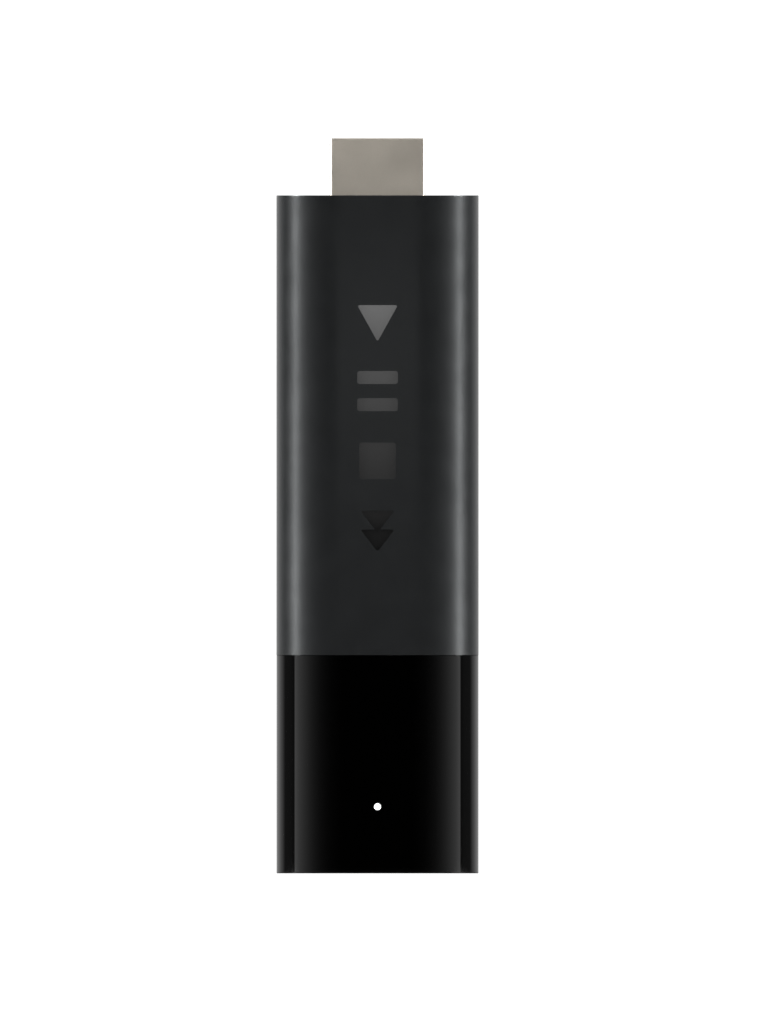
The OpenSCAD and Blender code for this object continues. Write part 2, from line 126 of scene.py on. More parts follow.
def surface(name, colour, worn, roughness, metallic=0.0, per_metre=9000.0, depth=0.01, contrast=0.12,
            stretch=(1, 1, 1), edge_width=0.05, edge_strength=0.5, roughness_spread=0.08):
    """A material with grain in its colour, roughness and relief, and edges rubbed to another colour.
    The relief's depth and the edges' width are in millimetres. Returns the material with its tree,
    its shader and the sockets of its shown colour and of its grain's height."""
    material = bpy.data.materials.new(name)
    material.use_nodes = True
    tree = material.node_tree
    shader = tree.nodes["Principled BSDF"]
    shader.inputs["Metallic"].default_value = metallic
    place = tree.nodes.new("ShaderNodeTexCoord").outputs["Object"]
    mapping = tree.nodes.new("ShaderNodeMapping")
    mapping.inputs["Scale"].default_value = stretch
    tree.links.new(place, mapping.inputs["Vector"])
    texture = tree.nodes.new("ShaderNodeGroup")
    texture.node_tree = grain
    texture.inputs["Per metre"].default_value = per_metre
    tree.links.new(mapping.outputs["Vector"], texture.inputs["Place"])
    edges = tree.nodes.new("ShaderNodeGroup")
    edges.node_tree = rubbed
    edges.inputs["Width"].default_value = edge_width * MM
    edges.inputs["Strength"].default_value = edge_strength
    tree.links.new(place, edges.inputs["Place"])
    centred = math_node(tree, "SUBTRACT", texture.outputs["Tone"], 0.5)
    tone = math_node(tree, "ADD", math_node(tree, "MULTIPLY", centred, 5.0), 0.5)
    light = [min(1.0, value * (1 + contrast)) for value in colour]
    dark = [value * (1 - contrast) for value in colour]
    shown = mix_colour(tree, edges.outputs["Mask"], mix_colour(tree, tone, dark, light), worn)
    tree.links.new(shown, shader.inputs["Base Color"])
    spread = math_node(tree, "MULTIPLY", centred, 4 * roughness_spread)
    tree.links.new(math_node(tree, "ADD", spread, roughness), shader.inputs["Roughness"])
    bump = tree.nodes.new("ShaderNodeBump")
    bump.inputs["Distance"].default_value = depth * MM
    tree.links.new(texture.outputs["Height"], bump.inputs["Height"])
    tree.links.new(bump.outputs["Normal"], shader.inputs["Normal"])
    return material, tree, shader, shown, texture.outputs["Height"]


def open_edit(piece, wanted=None):
    """Selects one piece and opens it in edit mode, with the faces that pass a test selected, or all.
    The test takes a face's middle in millimetres and its normal."""
    bpy.ops.object.select_all(action="DESELECT")
    piece.select_set(True)
    bpy.context.view_layer.objects.active = piece
    bpy.ops.object.mode_set(mode="EDIT")
    bpy.ops.mesh.select_mode(type="FACE")
    bpy.ops.mesh.select_all(action="SELECT" if wanted is None else "DESELECT")
    if wanted:
        bpy.ops.object.mode_set(mode="OBJECT")
        for face in piece.data.polygons:
            face.select = wanted(face.center / MM, face.normal)
        bpy.ops.object.mode_set(mode="EDIT")


def soften(piece, width=0.05, segments=2, angle=30, rounded=True):
    """Rounds the sharp edges by a width in millimetres, then shades soft edges smooth and keeps
    the large flat faces flat."""
    open_edit(piece)
    bpy.ops.object.mode_set(mode="OBJECT")
    if rounded:
        bevel = piece.modifiers.new("rounded_edges", "BEVEL")
        bevel.width = width * MM
        bevel.segments = segments
        bevel.angle_limit = math.radians(angle)
        bpy.ops.object.modifier_apply(modifier=bevel.name)
    bpy.ops.object.shade_smooth_by_angle(angle=math.radians(35))
    normals = piece.modifiers.new("flat_faces", "WEIGHTED_NORMAL")
    normals.keep_sharp = True
    bpy.ops.object.modifier_apply(modifier=normals.name)


def fine_copy(node, width=0.05, segments=2):
    """A copy of a CAD node's mesh, merged into clean faces and with its sharp edges rounded."""
    piece = bpy.data.objects.new(f"{node}_copy", bpy.data.objects[node].data.copy())
    bpy.context.collection.objects.link(piece)
    piece.data.materials.clear()
    open_edit(piece)
    bpy.ops.mesh.remove_doubles(threshold=1e-6)
    bpy.ops.mesh.customdata_custom_splitnormals_clear()
    bpy.ops.mesh.dissolve_limited(angle_limit=math.radians(0.5))
    bpy.ops.object.mode_set(mode="OBJECT")
    soften(piece, width, segments)
    return piece


def fit(piece, name, node, slot, *materials):
    """Names a finished piece, gives it its materials and lets it stand for a CAD node."""
    piece.name = name
    for material in materials:
        piece.data.materials.append(material)
    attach(piece, "root")
    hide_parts(node)
    return piece


lacquer, tree, shader, shown, height = surface(
    "green_lacquer", (0.007, 0.062, 0.028), (0.42, 0.34, 0.17), 0.26, per_metre=6000, depth=0.002,
    contrast=0.1, edge_width=0.06)
# The copper lies in patches: lines up the board, lines across it, slanted lines or a solid fill.
patches_per_metre, lines_per_metre, line_share, slant = 260, 2100.0, 0.42, 0.7
holes_per_metre, hole_edge, ring_edge, copper_high = 640, 0.08, 0.16, 0.03
place = tree.nodes.new("ShaderNodeTexCoord").outputs["Object"]
patches = tree.nodes.new("ShaderNodeTexVoronoi")
patches.distance = "CHEBYCHEV"
patches.inputs["Scale"].default_value = patches_per_metre
patches.inputs["Randomness"].default_value = 0.85
tree.links.new(place, patches.inputs["Vector"])
kind = tree.nodes.new("ShaderNodeSeparateColor")
tree.links.new(patches.outputs["Color"], kind.inputs["Color"])
along = tree.nodes.new("ShaderNodeSeparateXYZ")
tree.links.new(place, along.inputs[0])
slanted = math_node(tree, "ADD", along.outputs["X"], along.outputs["Z"])
slanted = math_node(tree, "MULTIPLY", slanted, slant)
copper = 0.0
for direction, low, high in ((along.outputs["X"], 0.0, 0.34), (along.outputs["Z"], 0.34, 0.52),
                             (slanted, 0.52, 0.66), (None, 0.66, 0.86)):
    chosen = math_node(tree, "MULTIPLY", math_node(tree, "GREATER_THAN", kind.outputs[0], low),
                       math_node(tree, "LESS_THAN", kind.outputs[0], high))
    if direction:
        stripe = math_node(tree, "FRACT", math_node(tree, "MULTIPLY", direction, lines_per_metre))
        chosen = math_node(tree, "MULTIPLY", chosen, math_node(tree, "LESS_THAN", stripe, line_share))
    copper = math_node(tree, "ADD", copper, chosen)
holes = tree.nodes.new("ShaderNodeTexVoronoi")
holes.inputs["Scale"].default_value = holes_per_metre
tree.links.new(place, holes.inputs["Vector"])
plated = math_node(tree, "LESS_THAN", holes.outputs["Distance"], ring_edge)
drilled = math_node(tree, "GREATER_THAN", holes.outputs["Distance"], hole_edge)
ring = math_node(tree, "MULTIPLY", plated, drilled)
shown = mix_colour(tree, copper, shown, (0.016, 0.125, 0.052))
shown = mix_colour(tree, ring, shown, (0.75, 0.55, 0.22))
tree.links.new(shown, shader.inputs["Base Color"])
tree.links.new(ring, shader.inputs["Metallic"])
relief = tree.nodes.new("ShaderNodeBump")
relief.inputs["Distance"].default_value = copper_high * MM
lifted = math_node(tree, "ADD", copper, math_node(tree, "MULTIPLY", height, 0.05))
tree.links.new(lifted, relief.inputs["Height"])
tree.links.new(relief.outputs["Normal"], shader.inputs["Normal"])
fit(fine_copy("main_board", 0.04, 1), "main_board_laminate", "main_board", "board_laminate", lacquer)


# Chips. Black moulded packages on thin carriers: processor, four memories, flash, two supply chips
# and radio. Each has a fine laser-matt top, a small sloped step at its foot and a pin-one dimple.
def solids_of(node):
    """The lowest and highest corner, in millimetres, of each separate solid inside a CAD node."""
    piece = bpy.data.objects.new("solids", bpy.data.objects[node].data.copy())
    bpy.context.collection.objects.link(piece)
    open_edit(piece)
    bpy.ops.mesh.remove_doubles(threshold=1e-6)
    bpy.ops.mesh.separate(type="LOOSE")
    bpy.ops.object.mode_set(mode="OBJECT")
    corners = []
    for part in list(bpy.context.selected_objects):
        points = [vertex.co / MM for vertex in part.data.vertices]
        low = Vector([min(point[axis] for point in points) for axis in range(3)])
        high = Vector([max(point[axis] for point in points) for axis in range(3)])
        corners.append((low, high))
        bpy.data.objects.remove(part, do_unlink=True)
    return sorted(corners, key=lambda pair: (round(pair[0].z, 3), round(pair[0].x, 3), round(pair[0].y, 3)))


def flat_face(corners, rounding=0.0, segments=6):
    """One flat face through the given corners, in millimetres, with each corner rounded."""
    bpy.ops.object.select_all(action="DESELECT")
    bpy.ops.mesh.primitive_circle_add(vertices=len(corners), fill_type="NGON")
    piece = bpy.context.object
    for vertex, corner in zip(piece.data.vertices, corners):
        vertex.co = Vector(corner) * MM
    if rounding:
        open_edit(piece)
        bpy.ops.mesh.bevel(offset=rounding * MM, segments=segments, affect="VERTICES")
        bpy.ops.object.mode_set(mode="OBJECT")
    return piece


def extrude(piece, move):
    """Extrudes a flat face into a closed solid by a move in millimetres."""
    open_edit(piece)
    bpy.ops.mesh.extrude_region_move(TRANSFORM_OT_translate={"value": Vector(move) * MM})
    bpy.ops.mesh.select_all(action="SELECT")
    bpy.ops.mesh.normals_make_consistent(inside=False)
    bpy.ops.object.mode_set(mode="OBJECT")
    return piece


def step_face(piece, wanted, inward, rise):
    """Insets the faces that pass a test, then moves what is left along its normal by a rise."""
    open_edit(piece, wanted)
    bpy.ops.mesh.inset(thickness=inward * MM, depth=rise * MM)
    bpy.ops.object.mode_set(mode="OBJECT")


def rod(radius, start, end, vertices=24):
    """A round bar from one point to another, in millimetres, used to cut holes and dimples."""
    start, end = Vector(start) * MM, Vector(end) * MM
    bpy.ops.object.select_all(action="DESELECT")
    bpy.ops.mesh.primitive_cylinder_add(
        vertices=vertices, radius=radius * MM, depth=(end - start).length, location=(start + end) / 2,
        rotation=(end - start).to_track_quat("Z", "Y").to_euler())
    bpy.ops.object.transform_apply(location=True, rotation=True, scale=True)
    return bpy.context.object


def combine(piece, other, operation="DIFFERENCE"):
    """Cuts another solid out of a piece, or welds it on, and deletes the other."""
    bpy.ops.object.select_all(action="DESELECT")
    piece.select_set(True)
    bpy.context.view_layer.objects.active = piece
    tool = piece.modifiers.new("combine", "BOOLEAN")
    tool.operation = operation
    tool.solver = "EXACT"
    tool.object = other
    bpy.ops.object.modifier_apply(modifier=tool.name)
    bpy.data.objects.remove(other, do_unlink=True)
    return piece


def join(pieces):
    """Joins separate solids into one object."""
    bpy.ops.object.select_all(action="DESELECT")
    for piece in pieces:
        piece.select_set(True)
    bpy.context.view_layer.objects.active = pieces[0]
    if len(pieces) > 1:
        bpy.ops.object.join()
    return pieces[0]


def stepped_block(low, high, foot, inward, edge=0.04, dimple=0.0):
    """A block that stands on the board: a foot of full size, then a sloped step inwards and a body
    up to the top. Faces above the foot take the second material."""
    out = -1 if low.y < 0 else 1
    ground, top = (high.y, low.y) if out < 0 else (low.y, high.y)
    corners = [(low.x, ground, low.z), (high.x, ground, low.z),
               (high.x, ground, high.z), (low.x, ground, high.z)]
    piece = extrude(flat_face(corners), (0, out * foot, 0))
    step_face(piece, lambda middle, normal: normal.y * out > 0.9, inward, 0.0)
    centre = (low + high) / 2
    open_edit(piece, lambda middle, normal: normal.y * out > 0.9 and abs(middle.x - centre.x) < 0.01
              and abs(middle.z - centre.z) < 0.01)
    rise = top - ground - out * foot
    bpy.ops.mesh.extrude_region_move(TRANSFORM_OT_translate={"value": (0, rise * MM, 0)})
    bpy.ops.object.mode_set(mode="OBJECT")
    if dimple:
        x, z = low.x + inward + 3 * dimple, high.z - inward - 3 * dimple
        combine(piece, rod(dimple, (x, top - out * 0.06, z), (x, top + out, z)))
    soften(piece, edge, 2)
    for face in piece.data.polygons:
        face.material_index = int((face.center.y / MM - ground) * out > foot + 0.001)
    return piece


carrier, *_ = surface(
    "chip_carrier", (0.012, 0.03, 0.02), (0.2, 0.2, 0.15), 0.4, per_metre=9000, depth=0.003)
package, *_ = surface(
    "chip_moulding", (0.014, 0.014, 0.015), (0.06, 0.06, 0.062), 0.55, per_metre=16000, depth=0.006)
for node, foot, dimple in (("processor", 0.3, 0.4), ("memory_chips", 0.25, 0.35), ("flash_chip", 0.25, 0.35),
                           ("power_chips", 0.15, 0.2), ("wireless_chip", 0.2, 0.25)):
    chips = [stepped_block(low, high, foot, 0.08, dimple=dimple) for low, high in solids_of(node)]
    fit(join(chips), f"{node}_moulded", node, "chip_package", carrier, package)

# Crystals. A ceramic tray closed by a nickel-plated lid that is seam-welded on, and reflowed to the
# board beside the chip that each one clocks.
tray, *_ = surface("crystal_tray", (0.16, 0.13, 0.10), (0.3, 0.27, 0.22), 0.5)
tin, *_ = surface(
    "tinned_steel", (0.50, 0.50, 0.49), (0.66, 0.65, 0.63), 0.34, metallic=1.0, per_metre=5000,
    depth=0.003, stretch=(1, 1, 0.08))
crystals = [stepped_block(low, high, 0.35 * (high.y - low.y), 0.18) for low, high in solids_of("crystals")]
fit(join(crystals), "crystals_welded", "crystals", "crystal_can", tray, tin)


# Inductors, capacitors and resistors. Small fired or pressed blocks with tinned ends that wrap round
# them, placed by machine and reflowed. One of each kind is made and copied to all its places.
def banded_block(length, width, height, band, proud, edge):
    """A block along X on the plane Y = 0, with end bands that stand a little proud of its middle."""
    corners = [(-length / 2, 0, -width / 2), (length / 2, 0, -width / 2),
               (length / 2, 0, width / 2), (-length / 2, 0, width / 2)]
    piece = extrude(flat_face(corners), (0, height, 0))
    for place in (band, band + proud, length - band - proud, length - band):
        open_edit(piece)
        bpy.ops.mesh.bisect(plane_co=((place - length / 2) * MM, 0, 0), plane_no=(1, 0, 0))
        bpy.ops.object.mode_set(mode="OBJECT")
    for vertex in piece.data.vertices:
        if abs(vertex.co.x) < (length / 2 - band - proud / 2) * MM:
            vertex.co.y += math.copysign(proud, height / 2 * MM - vertex.co.y) * MM
            vertex.co.z -= math.copysign(proud, vertex.co.z) * MM
    soften(piece, edge, 1, angle=50)
    for face in piece.data.polygons:
        face.material_index = int(abs(face.center.x) > (length / 2 - band - proud / 2) * MM)
    return piece


def place_copies(model, places):
    """Copies a block made along X to each solid's place, turned to its long side, front or back."""
    copies = []
    for low, high in places:
        copy = bpy.data.objects.new("placed", model.data.copy())
        bpy.context.collection.objects.link(copy)
        turned = Matrix.Rotation(math.radians(90 if high.z - low.z > high.x - low.x else 0), 4, "Y")
        if low.y < 0:
            turned = Matrix.Rotation(math.radians(180), 4, "X") @ turned
        ground = high.y if low.y < 0 else low.y
        middle = Vector(((low.x + high.x) / 2, ground, (low.z + high.z) / 2)) * MM
        copy.data.transform(Matrix.Translation(middle) @ turned)
        copies.append(copy)
    bpy.data.objects.remove(model, do_unlink=True)
    return join(copies)


solder, *_ = surface(
    "tinned_ends", (0.55, 0.55, 0.54), (0.72, 0.72, 0.70), 0.38, metallic=1.0, per_metre=9000, depth=0.006)
ferrite, *_ = surface("pressed_ferrite", (0.045, 0.045, 0.048), (0.12, 0.12, 0.12), 0.6)
ceramic, *_ = surface("fired_ceramic", (0.34, 0.22, 0.11), (0.5, 0.42, 0.32), 0.42)
glaze, *_ = surface("resistor_glaze", (0.012, 0.012, 0.013), (0.4, 0.4, 0.38), 0.35)
for node, name, slot, body, band, proud, edge in (
        ("inductors", "inductors_pressed", "ferrite", ferrite, 0.7, 0.05, 0.1),
        ("bulk_capacitors", "bulk_capacitors_fired", "capacitor_body", ceramic, 0.5, 0.03, 0.05),
        ("small_capacitors", "small_capacitors_fired", "capacitor_body", ceramic, 0.24, 0.02, 0.03),
        ("small_resistors", "small_resistors_glazed", "resistor_body", glaze, 0.22, 0.015, 0.02)):
    places = solids_of(node)
    sizes = places[0][1] - places[0][0]
    model = banded_block(max(sizes.x, sizes.z), min(sizes.x, sizes.z), sizes.y, band, proud, edge)
    fit(place_copies(model, places), name, node, slot, body, solder)

# Status light. A white moulded housing with a sunk window of clear resin over the lit chip. It is
# reflowed to the board behind the light pipe.
led_middle_z = 9.7
led_low, led_high = (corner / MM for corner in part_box("status_led"))
led = extrude(flat_face([(led_low.x, led_high.y, led_low.z), (led_high.x, led_high.y, led_low.z),
                         (led_high.x, led_high.y, led_high.z), (led_low.x, led_high.y, led_high.z)]),
              (0, led_low.y - led_high.y, 0))
step_face(led, lambda middle, normal: normal.y < -0.9, 0.12, 0.0)
step_face(led, lambda middle, normal: normal.y < -0.9 and abs(middle.x) < 0.1
          and abs(middle.z - led_middle_z) < 0.1, 0.03, -0.1)
soften(led, 0.03, 1)
for face in led.data.polygons:
    face.material_index = int(face.normal.y < -0.9 and face.center.y / MM > led_low.y + 0.05)
housing, *_ = surface("led_housing", (0.82, 0.82, 0.79), (0.9, 0.9, 0.88), 0.4)
window, _, shader, *_ = surface("led_window", (0.95, 0.9, 0.7), (0.95, 0.95, 0.8), 0.1, depth=0.001)
shader.inputs["Emission Color"].default_value = (1, 0.98, 0.92, 1)
shader.inputs["Emission Strength"].default_value = 2.0
fit(led, "status_led_housing", "status_led", "led_package", housing, window)

# Antennas. Strips stamped and folded from thin gilded bronze, standing on two feet near the lower
# end, where no metal shades them.
gold, *_ = surface(
    "gilded_bronze", (0.83, 0.60, 0.24), (0.92, 0.78, 0.48), 0.22, metallic=1.0, per_metre=7000, depth=0.002)
for side in ("left", "right"):
    node = f"antenna_{side}"
    fit(fine_copy(node, 0.03, 2), f"{node}_strip", node, "antenna_metal", gold)

# Shields. Frames of tinned steel soldered round the chips, and drawn lids that clip over them. Each
# lid has a shallow pressed panel and a row of clip dimples along its skirt.
for side in ("front", "back"):
    node = f"shield_frame_{side}"
    fit(fine_copy(node, 0.03, 1), f"{node}_stamped", node, "tinned_steel", tin)
panel_in, panel_sunk, clip_down, clip_apart, clip_radius, clip_sunk = 0.7, -0.05, 0.72, 3.5, 0.3, 0.06
for node, out in (("shield_lid_front", -1), ("shield_lid_back", 1), ("wireless_shield", -1)):
    low, high = (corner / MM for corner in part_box(node))
    lid = fine_copy(node, 0.06, 2)
    top = low.y if out < 0 else high.y
    step_face(lid, lambda middle, normal: normal.y * out > 0.99 and abs(middle.y - top) < 0.01,
              panel_in, panel_sunk)
    row = top - out * clip_down
    steps = int((high.z - low.z - 3) / clip_apart)
    dimples = []
    for number in range(steps + 1):
        z = (low.z + high.z) / 2 + (number - steps / 2) * clip_apart
        for x, side in ((low.x, 1), (high.x, -1)):
            dimples.append(rod(clip_radius, (x - side, row, z), (x + side * clip_sunk, row, z), 16))
    combine(lid, join(dimples))
    soften(lid, rounded=False)
    fit(lid, f"{node}_drawn", node, "tinned_steel", tin)

# Heat pads. Soft silicone sheets filled with ceramic powder, cut to size and pressed between the
# processor, the shields and the spreaders, so that their edges bulge a little.
silicone, *_ = surface(
    "filled_silicone", (0.24, 0.33, 0.42), (0.3, 0.38, 0.46), 0.75, per_metre=5000, depth=0.03,
    contrast=0.15)
for node in ("processor_pad", "spreader_pad_front", "spreader_pad_back"):
    fit(fine_copy(node, 0.22, 4), f"{node}_pressed", node, "thermal_pad", silicone)

# Heat spreaders. Plates of rolled aluminium with broken edges, one in front of the board and one
# behind it. They carry the heat up the sleeve.
aluminium, *_ = surface(
    "rolled_aluminium", (0.58, 0.59, 0.60), (0.72, 0.72, 0.73), 0.34, metallic=1.0, per_metre=5000,
    depth=0.004, stretch=(1, 1, 0.05))
for side in ("front", "back"):
    node = f"heat_spreader_{side}"
    fit(fine_copy(node, 0.12, 3), f"{node}_rolled", node, "spreader_metal", aluminium)


# Spacers. Eight turned brass sleeves that hold the spreaders off the board. A groove round the
# middle of each is where the cutter stopped.
def turned(outline, x, z, steps=32):
    """Spins a closed half outline of (radius, y) points, in millimetres, about a line along Y."""
    bpy.ops.object.select_all(action="DESELECT")
    bpy.ops.mesh.primitive_circle_add(vertices=len(outline), fill_type="NOTHING")
    piece = bpy.context.object
    for vertex, (radius, y) in zip(piece.data.vertices, outline):
        vertex.co = Vector((x + radius, y, z)) * MM
    open_edit(piece)
    bpy.ops.mesh.select_mode(type="VERT")
    bpy.ops.mesh.select_all(action="SELECT")
    bpy.ops.mesh.spin(steps=steps, angle=2 * math.pi, center=Vector((x, 0, z)) * MM, axis=(0, 1, 0))
    bpy.ops.mesh.select_all(action="SELECT")
    bpy.ops.mesh.remove_doubles(threshold=1e-6)
    bpy.ops.mesh.delete_loose()
    bpy.ops.mesh.select_all(action="SELECT")
    bpy.ops.mesh.normals_make_consistent(inside=False)
    bpy.ops.object.mode_set(mode="OBJECT")
    return piece


brass, *_ = surface(
    "turned_brass", (0.62, 0.46, 0.18), (0.76, 0.62, 0.32), 0.28, metallic=1.0, per_metre=6000,
    depth=0.004, stretch=(1, 0.1, 1))
bore, outside, chamfer, groove = 0.8, 1.6, 0.15, 0.12
spacers = []
for low, high in solids_of("spacers"):
    middle = (low.y + high.y) / 2
    outline = [(bore, high.y - chamfer), (bore + chamfer, high.y), (outside - chamfer, high.y),
               (outside, high.y - chamfer), (outside, middle + 2 * groove),
               (outside - groove, middle + groove), (outside - groove, middle - groove),
               (outside, middle - 2 * groove), (outside, low.y + chamfer),
               (outside - chamfer, low.y), (bore + chamfer, low.y), (bore, low.y + chamfer)]
    spacers.append(turned(outline, (low.x + high.x) / 2, (low.z + high.z) / 2))
    soften(spacers[-1], rounded=False)
fit(join(spacers), "spacers_turned", "spacers", "spacer_brass", brass)

# Screws. Four long steel screws with low cross-recessed heads and a rolled thread. They pull both
# spreaders against the spacers.
steel, *_ = surface("screw_steel", (0.30, 0.30, 0.31), (0.55, 0.55, 0.55), 0.32, metallic=1.0, depth=0.003)
shank, crest, pitch, head, head_high = 0.56, 0.7, 0.45, 1.4, 0.6
recess, slot_long, slot_wide, thread_half, thread_start = 0.32, 1.5, 0.32, 0.15, 0.35
low, high = solids_of("screws")[0]
head_base = low.y + head_high
outline = [(0, high.y), (shank - 0.2, high.y), (shank, high.y - 0.25), (shank, head_base),
           (head, head_base), (head, low.y + 0.28), (head - 0.1, low.y + 0.12),
           (head - 0.35, low.y + 0.02), (head - 0.7, low.y), (0, low.y)]
screw = turned(outline, 0, 0, 40)
for wide, tall in ((slot_long, slot_wide), (slot_wide, slot_long)):
    mouth = [(-wide / 2, low.y - 0.1, -tall / 2), (wide / 2, low.y - 0.1, -tall / 2),
             (wide / 2, low.y - 0.1, tall / 2), (-wide / 2, low.y - 0.1, tall / 2)]
    combine(screw, extrude(flat_face(mouth), (0, recess + 0.1, 0)))
bpy.ops.object.select_all(action="DESELECT")
bpy.ops.mesh.primitive_circle_add(vertices=3, fill_type="NGON")
thread = bpy.context.object
profile = ((shank - 0.04, -thread_half), (crest, 0), (shank - 0.04, thread_half))
for vertex, (radius, y) in zip(thread.data.vertices, profile):
    vertex.co = Vector((radius, head_base + thread_start + y, 0)) * MM
turns = thread.modifiers.new("turns", "SCREW")
turns.axis = "Y"
turns.screw_offset = pitch * MM
turns.iterations = int((high.y - head_base - 0.8) / pitch)
turns.steps = turns.render_steps = 20
turns.use_merge_vertices = False
bpy.ops.object.modifier_apply(modifier=turns.name)
open_edit(thread)
bpy.ops.mesh.select_mode(type="EDGE")
bpy.ops.mesh.select_all(action="DESELECT")
bpy.ops.mesh.select_non_manifold(
    extend=False, use_wire=False, use_multi_face=False, use_non_contiguous=False)
bpy.ops.mesh.fill()
bpy.ops.mesh.select_all(action="SELECT")
bpy.ops.mesh.normals_make_consistent(inside=False)
bpy.ops.object.mode_set(mode="OBJECT")
combine(screw, thread, "UNION")
soften(screw, rounded=False)
copies = []
for low, high in solids_of("screws"):
    copy = bpy.data.objects.new("placed", screw.data.copy())
    bpy.context.collection.objects.link(copy)
    copy.data.transform(Matrix.Translation(Vector(((low.x + high.x) / 2, 0, (low.z + high.z) / 2)) * MM))
    copies.append(copy)
bpy.data.objects.remove(screw, do_unlink=True)
fit(join(copies), "screws_threaded", "screws", "screw_steel", steel)

# Plug insides. A black moulding with the mating slot, and 19 stamped and gilded strips in two rows.
# A steel bracket with two legs holds the plug on the board's edge.
black_moulding, *_ = surface("black_moulding", (0.010, 0.010, 0.011), (0.03, 0.03, 0.03), 0.42, depth=0.004)
for side in ("front", "back"):
    node = f"plug_contacts_{side}"
    fit(fine_copy(node, 0.03, 2), f"{node}_gilded", node, "contact_gold", gold)
fit(fine_copy("plug_insulator", 0.03, 1), "plug_insulator_moulded", "plug_insulator", "plug_plastic",
    black_moulding)
fit(fine_copy("plug_bracket", 0.06, 2), "plug_bracket_stamped", "plug_bracket", "tinned_steel", tin)

# Power socket. A rolled steel shell with two side flanges, soldered into the board's notch, round a
# black tongue that carries five gilded strips.
fit(fine_copy("power_socket_contacts", 0.02, 2), "power_socket_contacts_gilded", "power_socket_contacts",
    "contact_gold", gold)
fit(fine_copy("power_socket_tongue", 0.04, 2), "power_socket_tongue_moulded", "power_socket_tongue",
    "socket_plastic", black_moulding)
socket = fine_copy("power_socket_shell", 0.06, 2)
low, high = (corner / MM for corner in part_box("power_socket_shell"))
seam = [(-0.03, low.y - 1, low.z - 1), (0.03, low.y - 1, low.z - 1), (0.03, low.y + 0.12, low.z - 1),
        (-0.03, low.y + 0.12, low.z - 1)]
combine(socket, extrude(flat_face(seam), (0, 0, high.z - low.z + 2)))
soften(socket, rounded=False)
fit(socket, "power_socket_shell_rolled", "power_socket_shell", "tinned_steel", tin)

# Light pipe and its ring. A clear moulded pipe takes the status light to the front, where its end is
# ground to a low dome; the foam ring keeps stray light off the housing.
pipe_low, pipe_high = (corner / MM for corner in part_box("light_pipe"))
light_z = (pipe_low.z + pipe_high.z) / 2
light_radius, rod_radius, flange_radius, flange_thick = 0.46, 0.85, 1.4, 0.7
seat = pipe_low.y + 1.43
outline = [(0, pipe_high.y), (rod_radius - 0.05, pipe_high.y), (rod_radius, pipe_high.y - 0.05),
           (rod_radius, seat + flange_thick), (flange_radius - 0.05, seat + flange_thick),
           (flange_radius, seat + flange_thick - 0.05),
           (flange_radius, seat + 0.05), (flange_radius - 0.05, seat), (light_radius, seat),
           (light_radius, pipe_low.y + 0.1), (light_radius - 0.05, pipe_low.y + 0.04),
           (light_radius - 0.18, pipe_low.y + 0.015), (0, pipe_low.y)]
pipe = turned(outline, 0, light_z, 48)
soften(pipe, rounded=False)
clear, _, shader, *_ = surface(
    "frosted_pipe", (0.92, 0.94, 0.96), (0.95, 0.95, 0.97), 0.2, per_metre=6000, depth=0.0005, contrast=0.04)
shader.inputs["Emission Color"].default_value = (1, 1, 1, 1)
shader.inputs["Emission Strength"].default_value = 1.2
fit(pipe, "light_pipe_lens", "light_pipe", "light_pipe_plastic", clear)
foam, *_ = surface(
    "closed_cell_foam", (0.02, 0.02, 0.021), (0.04, 0.04, 0.04), 0.9, per_metre=5000, depth=0.08,
    contrast=0.3)
fit(fine_copy("light_gasket", 0.15, 3), "light_gasket_ring", "light_gasket", "gasket_foam", foam)


# Cap. One glossy black moulding, closed at its foot but for the socket's window. A spigot with four
# hooks snaps into the sleeve; slits beside the hooks let them bend, and ribs hold the board's edges.
def body_block(width, depth, low, high, vertices=160, ease=0.8, run=9.6):
    """A round-sided block. Its flat faces pass into the sides with a bend that grows steadily."""
    bpy.ops.object.select_all(action="DESELECT")
    bpy.ops.mesh.primitive_circle_add(vertices=vertices, radius=1, fill_type="NGON")
    piece = bpy.context.object
    step = 2 * math.pi / vertices
    flat = width / 2 - run
    for vertex in piece.data.vertices:
        turn = math.atan2(abs(vertex.co.x), abs(vertex.co.y))
        share = max(0.0, (turn - step) / (math.pi / 2 - step)) * math.pi / 2
        x = 0.0 if turn < step / 2 else flat + run * math.sin(share) ** ease
        y = depth / 2 * math.cos(share)
        vertex.co = Vector((math.copysign(x, vertex.co.x), math.copysign(y, vertex.co.y), low)) * MM
    return extrude(piece, (0, 0, high - low))


def bevel_rim(piece, z, width, segments):
    """Rounds a block's rim at a height; the sizes are in millimetres."""
    open_edit(piece, lambda middle, normal: abs(middle.z - z) < 0.001)
    bpy.ops.mesh.region_to_loop()
    bpy.ops.mesh.bevel(offset=width * MM, segments=segments, affect="EDGES")
    bpy.ops.object.mode_set(mode="OBJECT")


def box_between(low, high):
    """A plain box between two corners, used for slits, pockets and ribs."""
    corners = [(low[0], low[1], low[2]), (high[0], low[1], low[2]),
               (high[0], high[1], low[2]), (low[0], high[1], low[2])]
    return extrude(flat_face(corners), (0, 0, high[2] - low[2]))


